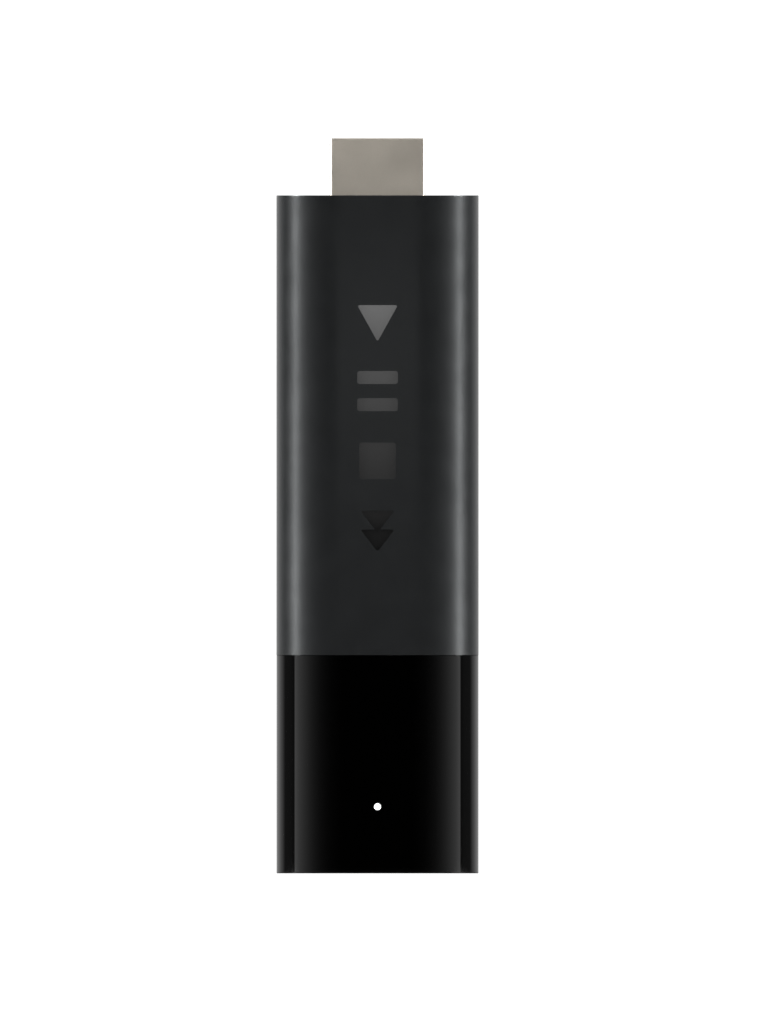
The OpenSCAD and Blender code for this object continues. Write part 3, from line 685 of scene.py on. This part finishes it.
cap_low, cap_high = (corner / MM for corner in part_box("end_cap"))
sleeve_low, sleeve_high = (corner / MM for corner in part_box("sleeve"))
width, depth, seam_z = cap_high.x - cap_low.x, cap_high.y - cap_low.y, sleeve_low.z
wall, end_wall, slip, spigot_wall, root = 1.4, 1.6, 0.1, 1.0, 2.0
inner_wide, inner_deep = width - 2 * wall, depth - 2 * wall
spigot_wide, spigot_deep = inner_wide - 2 * slip, inner_deep - 2 * slip
throat_wide, throat_deep = spigot_wide - 2 * spigot_wall, spigot_deep - 2 * spigot_wall
hook_x, hook_wide, hook_low, hook_high, bite = 5.0, 3.4, seam_z + 1.5, seam_z + 3.1, 0.45
rib_start, rib_end, rib_from, rib_to = 11.0, 13.8, 0.65, 1.45
slit_wide, slit_below, slit_from, slit_to = 0.6, 0.7, 5, 7

cap = body_block(width, depth, cap_low.z, seam_z)
bevel_rim(cap, cap_low.z, 0.08, 1)
bevel_rim(cap, seam_z, 0.05, 1)
spigot = body_block(spigot_wide, spigot_deep, seam_z - root, cap_high.z, run=8.1)
bevel_rim(spigot, cap_high.z, 0.25, 2)
combine(cap, spigot, "UNION")
combine(cap, body_block(inner_wide, inner_deep, end_wall, seam_z - root, run=8.2))
combine(cap, body_block(throat_wide, throat_deep, seam_z - root - 1, cap_high.z + 1, run=7.1))
for back in (-1, 1):
    for x in (-hook_x, hook_x):
        near, far = spigot_deep / 2 - spigot_wall / 2, spigot_deep / 2 + bite
        side = [(x - hook_wide / 2, back * near, hook_low), (x - hook_wide / 2, back * far, hook_low),
                (x - hook_wide / 2, back * far, hook_low + 0.5),
                (x - hook_wide / 2, back * spigot_deep / 2, hook_high),
                (x - hook_wide / 2, back * near, hook_high)]
        combine(cap, extrude(flat_face(side), (hook_wide, 0, 0)), "UNION")
        for slit in (-1, 1):
            start = x + slit * hook_wide / 2
            end, inner, outer = start + slit * slit_wide, back * slit_from, back * slit_to
            lows = (min(start, end), min(inner, outer), hook_low - slit_below)
            highs = (max(start, end), max(inner, outer), cap_high.z + 1)
            combine(cap, box_between(lows, highs))
    for x in (-1, 1):
        lows = (min(x * rib_start, x * rib_end), min(back * rib_from, back * rib_to), end_wall - 0.1)
        highs = (max(x * rib_start, x * rib_end), max(back * rib_from, back * rib_to), seam_z - root + 0.1)
        combine(cap, box_between(lows, highs), "UNION")


def socket_corners(grow, z):
    """The power socket's outline at height z: wide at the back, with cut corners at the front."""
    half, deep = 3.45 + grow, 0.925 + grow
    bend, narrow = -0.1 - 0.4 * grow, 2.65 + 0.6 * grow
    return [(-narrow, -deep, z), (narrow, -deep, z), (half, bend, z),
            (half, deep, z), (-half, deep, z), (-half, bend, z)]


window_play, lead_in_play, lead_in_deep = 0.5, 0.75, 0.25
combine(cap, extrude(flat_face(socket_corners(window_play, -1), 0.35), (0, 0, end_wall + 2)))
combine(cap, extrude(flat_face(socket_corners(lead_in_play, -1), 0.5), (0, 0, 1 + lead_in_deep)))
hole, countersink = light_radius + 0.03, 0.04
outline = [(0, cap_low.y - 1), (hole + countersink, cap_low.y - 1), (hole + countersink, cap_low.y),
           (hole, cap_low.y + countersink), (hole, cap_low.y + wall + 1), (0, cap_low.y + wall + 1)]
combine(cap, turned(outline, 0, light_z, 48))
soften(cap, rounded=False)
gloss, *_ = surface(
    "piano_gloss_plastic", (0.0001, 0.0001, 0.0001), (0.001, 0.001, 0.001), 0.012, per_metre=300,
    depth=0.00004, contrast=0.1, edge_strength=0.1, roughness_spread=0.003)
fit(cap, "end_cap_moulding", "end_cap", "cap_plastic", gloss)


# Plug shell. Sheet steel folded round the insulator and plated with satin nickel. Its tip is rolled
# in a little, and a dovetailed seam runs up the back.
def plug_corners(grow, z):
    """The plug's outline at height z: wide at the front, with cut corners at the back."""
    half, front, back = 6.95 + grow, -2.225 - grow, 2.225 + grow
    bend, narrow = 0.325 + 0.4 * grow, 5.1 + 0.6 * grow
    right = [(half, front, z), (half, bend, z), (narrow, back, z)]
    return right + [(-x, y, z) for x, y, z in reversed(right)]


plug_low, plug_high = (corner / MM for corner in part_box("plug_shell"))
plug_length = plug_high.z - plug_low.z
gauge, plug_corner = 0.3, 0.45
plug_shell = extrude(flat_face(plug_corners(0, plug_low.z), plug_corner, 8), (0, 0, plug_length))
bevel_rim(plug_shell, plug_high.z, 0.12, 3)
combine(plug_shell, extrude(flat_face(plug_corners(-gauge, plug_low.z - 1), 0.3), (0, 0, plug_length + 2)))
groove_y, seam_wide = plug_high.y - 0.12, 0.06
dovetails = [(plug_low.z - 1, 97.0, -0.5), (97.0, 99.8, 0.9), (99.8, 102.6, -0.5), (102.6, 105.2, 0.9),
             (105.2, plug_high.z + 1, -0.5)]
grooves = []
for number, (start, end, x) in enumerate(dovetails):
    grooves.append(box_between((x, groove_y, start), (x + seam_wide, plug_high.y + 1, end)))
    if number:
        previous = dovetails[number - 1][2]
        grooves.append(box_between((min(x, previous), groove_y, start - seam_wide / 2),
                                   (max(x, previous) + seam_wide, plug_high.y + 1, start + seam_wide / 2)))
for cutter in grooves:
    combine(plug_shell, cutter)
soften(plug_shell, rounded=False)
nickel, *_ = surface(
    "satin_nickel", (0.66, 0.607, 0.528), (0.80, 0.78, 0.74), 0.38, metallic=1.0, per_metre=7000,
    depth=0.0012, contrast=0.02, edge_strength=0.3, roughness_spread=0.04)
fit(plug_shell, "plug_shell_plated", "plug_shell", "plug_plating", nickel)

# Foam strips. Cut from closed-cell foam, two on each spreader, stuck down and pressed thin when the
# sleeve slides over them.
fit(fine_copy("foam_strips", 0.3, 4), "foam_strips_pressed", "foam_strips", "strip_foam", foam)

# Sleeve. One moulding of black plastic, closed round the plug at its upper end, with a fine spark
# texture from the mould. Four polished pictograms are sunk in its front, pockets inside take the
# cap's hooks, and ribs guide the board.
sleeve = body_block(width, depth, seam_z, sleeve_high.z)
bevel_rim(sleeve, sleeve_high.z, 0.08, 3)
bevel_rim(sleeve, seam_z, 0.06, 2)
combine(sleeve, body_block(inner_wide, inner_deep, seam_z - 1, sleeve_high.z - end_wall, run=8.2))
plug_play = 0.12
combine(sleeve, extrude(flat_face(plug_corners(plug_play, sleeve_high.z - 3), plug_corner), (0, 0, 5)))
for back in (-1, 1):
    for x in (-hook_x, hook_x):
        deepest = inner_deep / 2 + bite + slip
        near, far = back * slit_from, back * deepest
        lows = (x - hook_wide / 2 - slip, min(near, far), hook_low - slip)
        highs = (x + hook_wide / 2 + slip, max(near, far), hook_high + slip)
        combine(sleeve, box_between(lows, highs))
    for x in (-1, 1):
        lows = (min(x * rib_start, x * rib_end), min(back * rib_from, back * rib_to), cap_high.z + 1)
        highs = (max(x * rib_start, x * rib_end), max(back * rib_from, back * rib_to),
                 sleeve_high.z - end_wall + 0.1)
        combine(sleeve, box_between(lows, highs), "UNION")

# The pictograms are outlines of (across, down) points. Each is sunk once, and its rim a second time.
mark_size, mark_run, mark_middle, mark_depth, mark_ease, mark_corner = 5.8, 36.2, 65.0, 0.25, 0.05, 0.35
half = mark_size / 2
bar = 0.32 * mark_size
triangle = [(-half, -0.8 * half), (0, half), (half, -0.8 * half)]
first = [(-0.85 * half, -half), (0, 0.1 * half), (0.85 * half, -half)]
second = [(x, down + 0.95 * half) for x, down in first]
square = [(-0.9 * half, -0.9 * half), (-0.9 * half, 0.9 * half),
          (0.9 * half, 0.9 * half), (0.9 * half, -0.9 * half)]
bars = [[(-half, low), (-half, low + bar), (half, low + bar), (half, low)] for low in (-half, half - bar)]
for number, shapes in enumerate([[triangle], bars, [square], [first, second]]):
    middle = mark_middle + mark_run / 2 - half - number * (mark_run - mark_size) / 3
    for shape in shapes:
        centre = sum(down for x, down in shape) / len(shape)
        for grow, floor_y in ((1.0, mark_depth), (1 + 2 * mark_ease / mark_size, mark_ease)):
            corners = [(x * grow, floor_y - depth / 2, middle - centre - (down - centre) * grow)
                       for x, down in shape]
            combine(sleeve, extrude(flat_face(corners, mark_corner * grow), (0, -1, 0)))
soften(sleeve, rounded=False)
spark, _, shader, *_ = surface(
    "spark_textured_plastic", (0.0043, 0.0046, 0.0048), (0.007, 0.007, 0.0072), 0.235, per_metre=14000,
    depth=0.0004, contrast=0.06, edge_strength=0.15, roughness_spread=0.03)
shader.inputs["Specular Tint"].default_value = (0.95, 0.985, 1.0, 1)
polish, *_ = surface(
    "polished_recess", (0.003, 0.003, 0.003), (0.01, 0.01, 0.01), 0.06, per_metre=3000, depth=0.0006,
    contrast=0.05, edge_strength=0.2, roughness_spread=0.01)
fit(sleeve, "sleeve_moulding", "sleeve", "sleeve_plastic", spark, polish)
for face in sleeve.data.polygons:
    centre = face.center / MM
    face.material_index = int(abs(centre.x) < 3 and 0.02 < centre.y + depth / 2 < 0.3)

# Studio. The camera looks straight at the front from afar, level with the stick's middle. It has no
# perspective, so the stick's sides run true.
view_high = 0.14715
camera_data = bpy.data.cameras.new("camera")
camera_data.type = "ORTHO"
camera_data.ortho_scale = view_high
camera_data.clip_end = 10
camera = bpy.data.objects.new("camera", camera_data)
bpy.context.collection.objects.link(camera)
camera.location = (0.00036, -1.2, 0.0533)
camera.rotation_euler = (math.radians(90), 0, 0)
bpy.context.scene.camera = camera
bpy.context.scene.view_settings.view_transform = "Standard"



# Lights. All of them are far off, as brightness by "turn", the angle round from the camera's side,
# and "rise", the angle above the horizon: a level wrap that fades towards the camera, a tall strip
# on each side, and wide soft lights above the camera and behind.
def ramp(tree, place, stops):
    """A ramp of grey: each stop is an angle as a share of the half turn, and its brightness."""
    node = tree.nodes.new("ShaderNodeValToRGB")
    elements = node.color_ramp.elements
    while len(elements) < len(stops):
        elements.new(0.5)
    for element, (position, value) in zip(elements, stops):
        element.position = position / 180
        element.color = (value, value, value, 1)
    tree.links.new(place, node.inputs[0])
    return node.outputs[0]


def between(tree, angle, low, high):
    """One where an angle in degrees lies between two others, with soft ends, and zero elsewhere."""
    rise = math_node(tree, "SMOOTH_MIN", math_node(tree, "SUBTRACT", angle, low), 2.0, 0.5)
    fall = math_node(tree, "SMOOTH_MIN", math_node(tree, "SUBTRACT", high, angle), 2.0, 0.5)
    inside = math_node(tree, "MINIMUM", rise, fall)
    clipped = math_node(tree, "MINIMUM", math_node(tree, "MAXIMUM", inside, 0.0), 2.0)
    return math_node(tree, "DIVIDE", clipped, 2.0)


level_power, strip_power, front_power, rear_power = 1.2, 138.0, 1.6, 0.5
strip_turn, strip_spread, front_edge, rear_edge = 79.0, 6.3, 60.0, 132.0
world = bpy.data.worlds.new("studio")
bpy.context.scene.world = world
world.use_nodes = True
tree = world.node_tree
towards = tree.nodes.new("ShaderNodeSeparateXYZ")
tree.links.new(tree.nodes.new("ShaderNodeTexCoord").outputs["Generated"], towards.inputs[0])
to_camera = math_node(tree, "MULTIPLY", towards.outputs["Y"], -1.0)
turn = math_node(tree, "ARCTAN2", math_node(tree, "ABSOLUTE", towards.outputs["X"]), to_camera)
turn = math_node(tree, "DEGREES", turn)
rise = math_node(tree, "DEGREES", math_node(tree, "ARCSINE", towards.outputs["Z"]))
level = ramp(tree, math_node(tree, "DIVIDE", turn, 180.0), [
    (0, 0), (10, 0.02), (16, 0.042), (24, 0.075), (33, 0.142), (42, 0.242), (53, 0.41), (66, 0.65),
    (78, 0.98), (80, 0.06), (92, 0.08), (112, 0.07), (123, 0.33), (140, 0.52), (156, 0.5), (170, 0.8),
    (180, 1.0)])
level = math_node(tree, "MULTIPLY", level, level_power)
level = math_node(tree, "MULTIPLY", level, between(tree, rise, -60, 10))
off_strip = math_node(tree, "DIVIDE", math_node(tree, "SUBTRACT", turn, strip_turn), strip_spread)
off_strip = math_node(tree, "MULTIPLY", math_node(tree, "POWER", off_strip, 2.0), -1.0)
strip = math_node(tree, "MULTIPLY", math_node(tree, "EXPONENT", off_strip), strip_power)
strip = math_node(tree, "MULTIPLY", strip, between(tree, rise, 8, 40))
front = math_node(tree, "MULTIPLY", math_node(tree, "LESS_THAN", turn, front_edge), front_power)
front = math_node(tree, "MULTIPLY", front, between(tree, rise, 18, 50))
rear = math_node(tree, "MULTIPLY", math_node(tree, "GREATER_THAN", turn, rear_edge), rear_power)
rear = math_node(tree, "MULTIPLY", rear, between(tree, rise, 10, 60))
glow = math_node(tree, "ADD", math_node(tree, "ADD", level, strip), math_node(tree, "ADD", front, rear))
ray = tree.nodes.new("ShaderNodeLightPath")
seen = math_node(tree, "MAXIMUM", glow, ray.outputs["Is Camera Ray"])
tree.links.new(seen, tree.nodes["Background"].inputs["Strength"])
tree.nodes["Background"].inputs["Color"].default_value = (1, 1, 1, 1)

# A narrow lit card in front, hardly wider than the pictograms, shows only in their polished floors.
# It grows brighter upwards, by e times for each step, from a dim foot.
card_size, card_place = (0.008, 0.042, 1), (0, -0.25, 0.0655)
card_power, card_base, card_step = 0.48, 0.0537, 0.0135
card_foot, foot_fade, foot_least = 0.0495, 0.004, 0.35
bpy.ops.object.select_all(action="DESELECT")
bpy.ops.mesh.primitive_plane_add(size=1, location=card_place, rotation=(math.radians(90), 0, 0))
card = bpy.context.object
card.scale = card_size
bpy.ops.object.transform_apply(location=True, rotation=True, scale=True)
card.name = "recess_card"
card.visible_camera = False
card.visible_shadow = False
card.visible_diffuse = False
material = bpy.data.materials.new("recess_card")
material.use_nodes = True
tree = material.node_tree
tree.nodes.remove(tree.nodes["Principled BSDF"])
glow = tree.nodes.new("ShaderNodeEmission")
tree.links.new(glow.outputs[0], tree.nodes["Material Output"].inputs["Surface"])
place = tree.nodes.new("ShaderNodeSeparateXYZ")
tree.links.new(tree.nodes.new("ShaderNodeTexCoord").outputs["Object"], place.inputs[0])
steps_up = math_node(tree, "DIVIDE", math_node(tree, "SUBTRACT", place.outputs["Z"], card_base), card_step)
foot = math_node(tree, "DIVIDE", math_node(tree, "SUBTRACT", place.outputs["Z"], card_foot), foot_fade)
foot = math_node(tree, "MINIMUM", math_node(tree, "MAXIMUM", foot, foot_least), 1.0)
growth = math_node(tree, "MULTIPLY", math_node(tree, "EXPONENT", steps_up), foot)
tree.links.new(math_node(tree, "MULTIPLY", growth, card_power), glow.inputs["Strength"])
card.data.materials.append(material)

# The floor is a pale sheet, open under the cap's foot and clear to anyone who looks up from below,
# so the foot and its socket can be seen there. Its colour is painted darker for glossy rays only, so
# the gloss shows a painted dark reflection of it, darker than it is.
foot_margin, floor_spread = 0.3, 90
floor = body_block(width - foot_margin, depth - foot_margin, -1, 0)
open_edit(floor, lambda middle, normal: middle.z < -0.001)
bpy.ops.mesh.delete(type="FACE")
bpy.ops.mesh.select_all(action="SELECT")
bpy.ops.mesh.delete(type="ONLY_FACE")
bpy.ops.mesh.select_mode(type="EDGE")
bpy.ops.mesh.select_all(action="SELECT")
bpy.ops.mesh.extrude_edges_move()
bpy.ops.transform.resize(value=(floor_spread, floor_spread, 1), center_override=(0, 0, 0))
bpy.ops.object.mode_set(mode="OBJECT")
if floor.data.polygons[0].normal.z < 0:
    floor.data.flip_normals()
floor.name = "floor"
pale = bpy.data.materials.new("pale_floor")
pale.use_nodes = True
tree = pale.node_tree
shader = tree.nodes["Principled BSDF"]
ray = tree.nodes.new("ShaderNodeLightPath")
# Painted dark reflection: glossy rays see the floor at 0.02 grey, every other ray sees 0.28.
shown = mix_colour(tree, ray.outputs["Is Glossy Ray"], (0.28, 0.28, 0.28), (0.02, 0.02, 0.02))
tree.links.new(shown, shader.inputs["Base Color"])
shader.inputs["Roughness"].default_value = 0.7
either = tree.nodes.new("ShaderNodeMixShader")
tree.links.new(tree.nodes.new("ShaderNodeNewGeometry").outputs["Backfacing"], either.inputs[0])
tree.links.new(shader.outputs[0], either.inputs[1])
tree.links.new(tree.nodes.new("ShaderNodeBsdfTransparent").outputs[0], either.inputs[2])
tree.links.new(either.outputs[0], tree.nodes["Material Output"].inputs["Surface"])
floor.data.materials.append(pale)
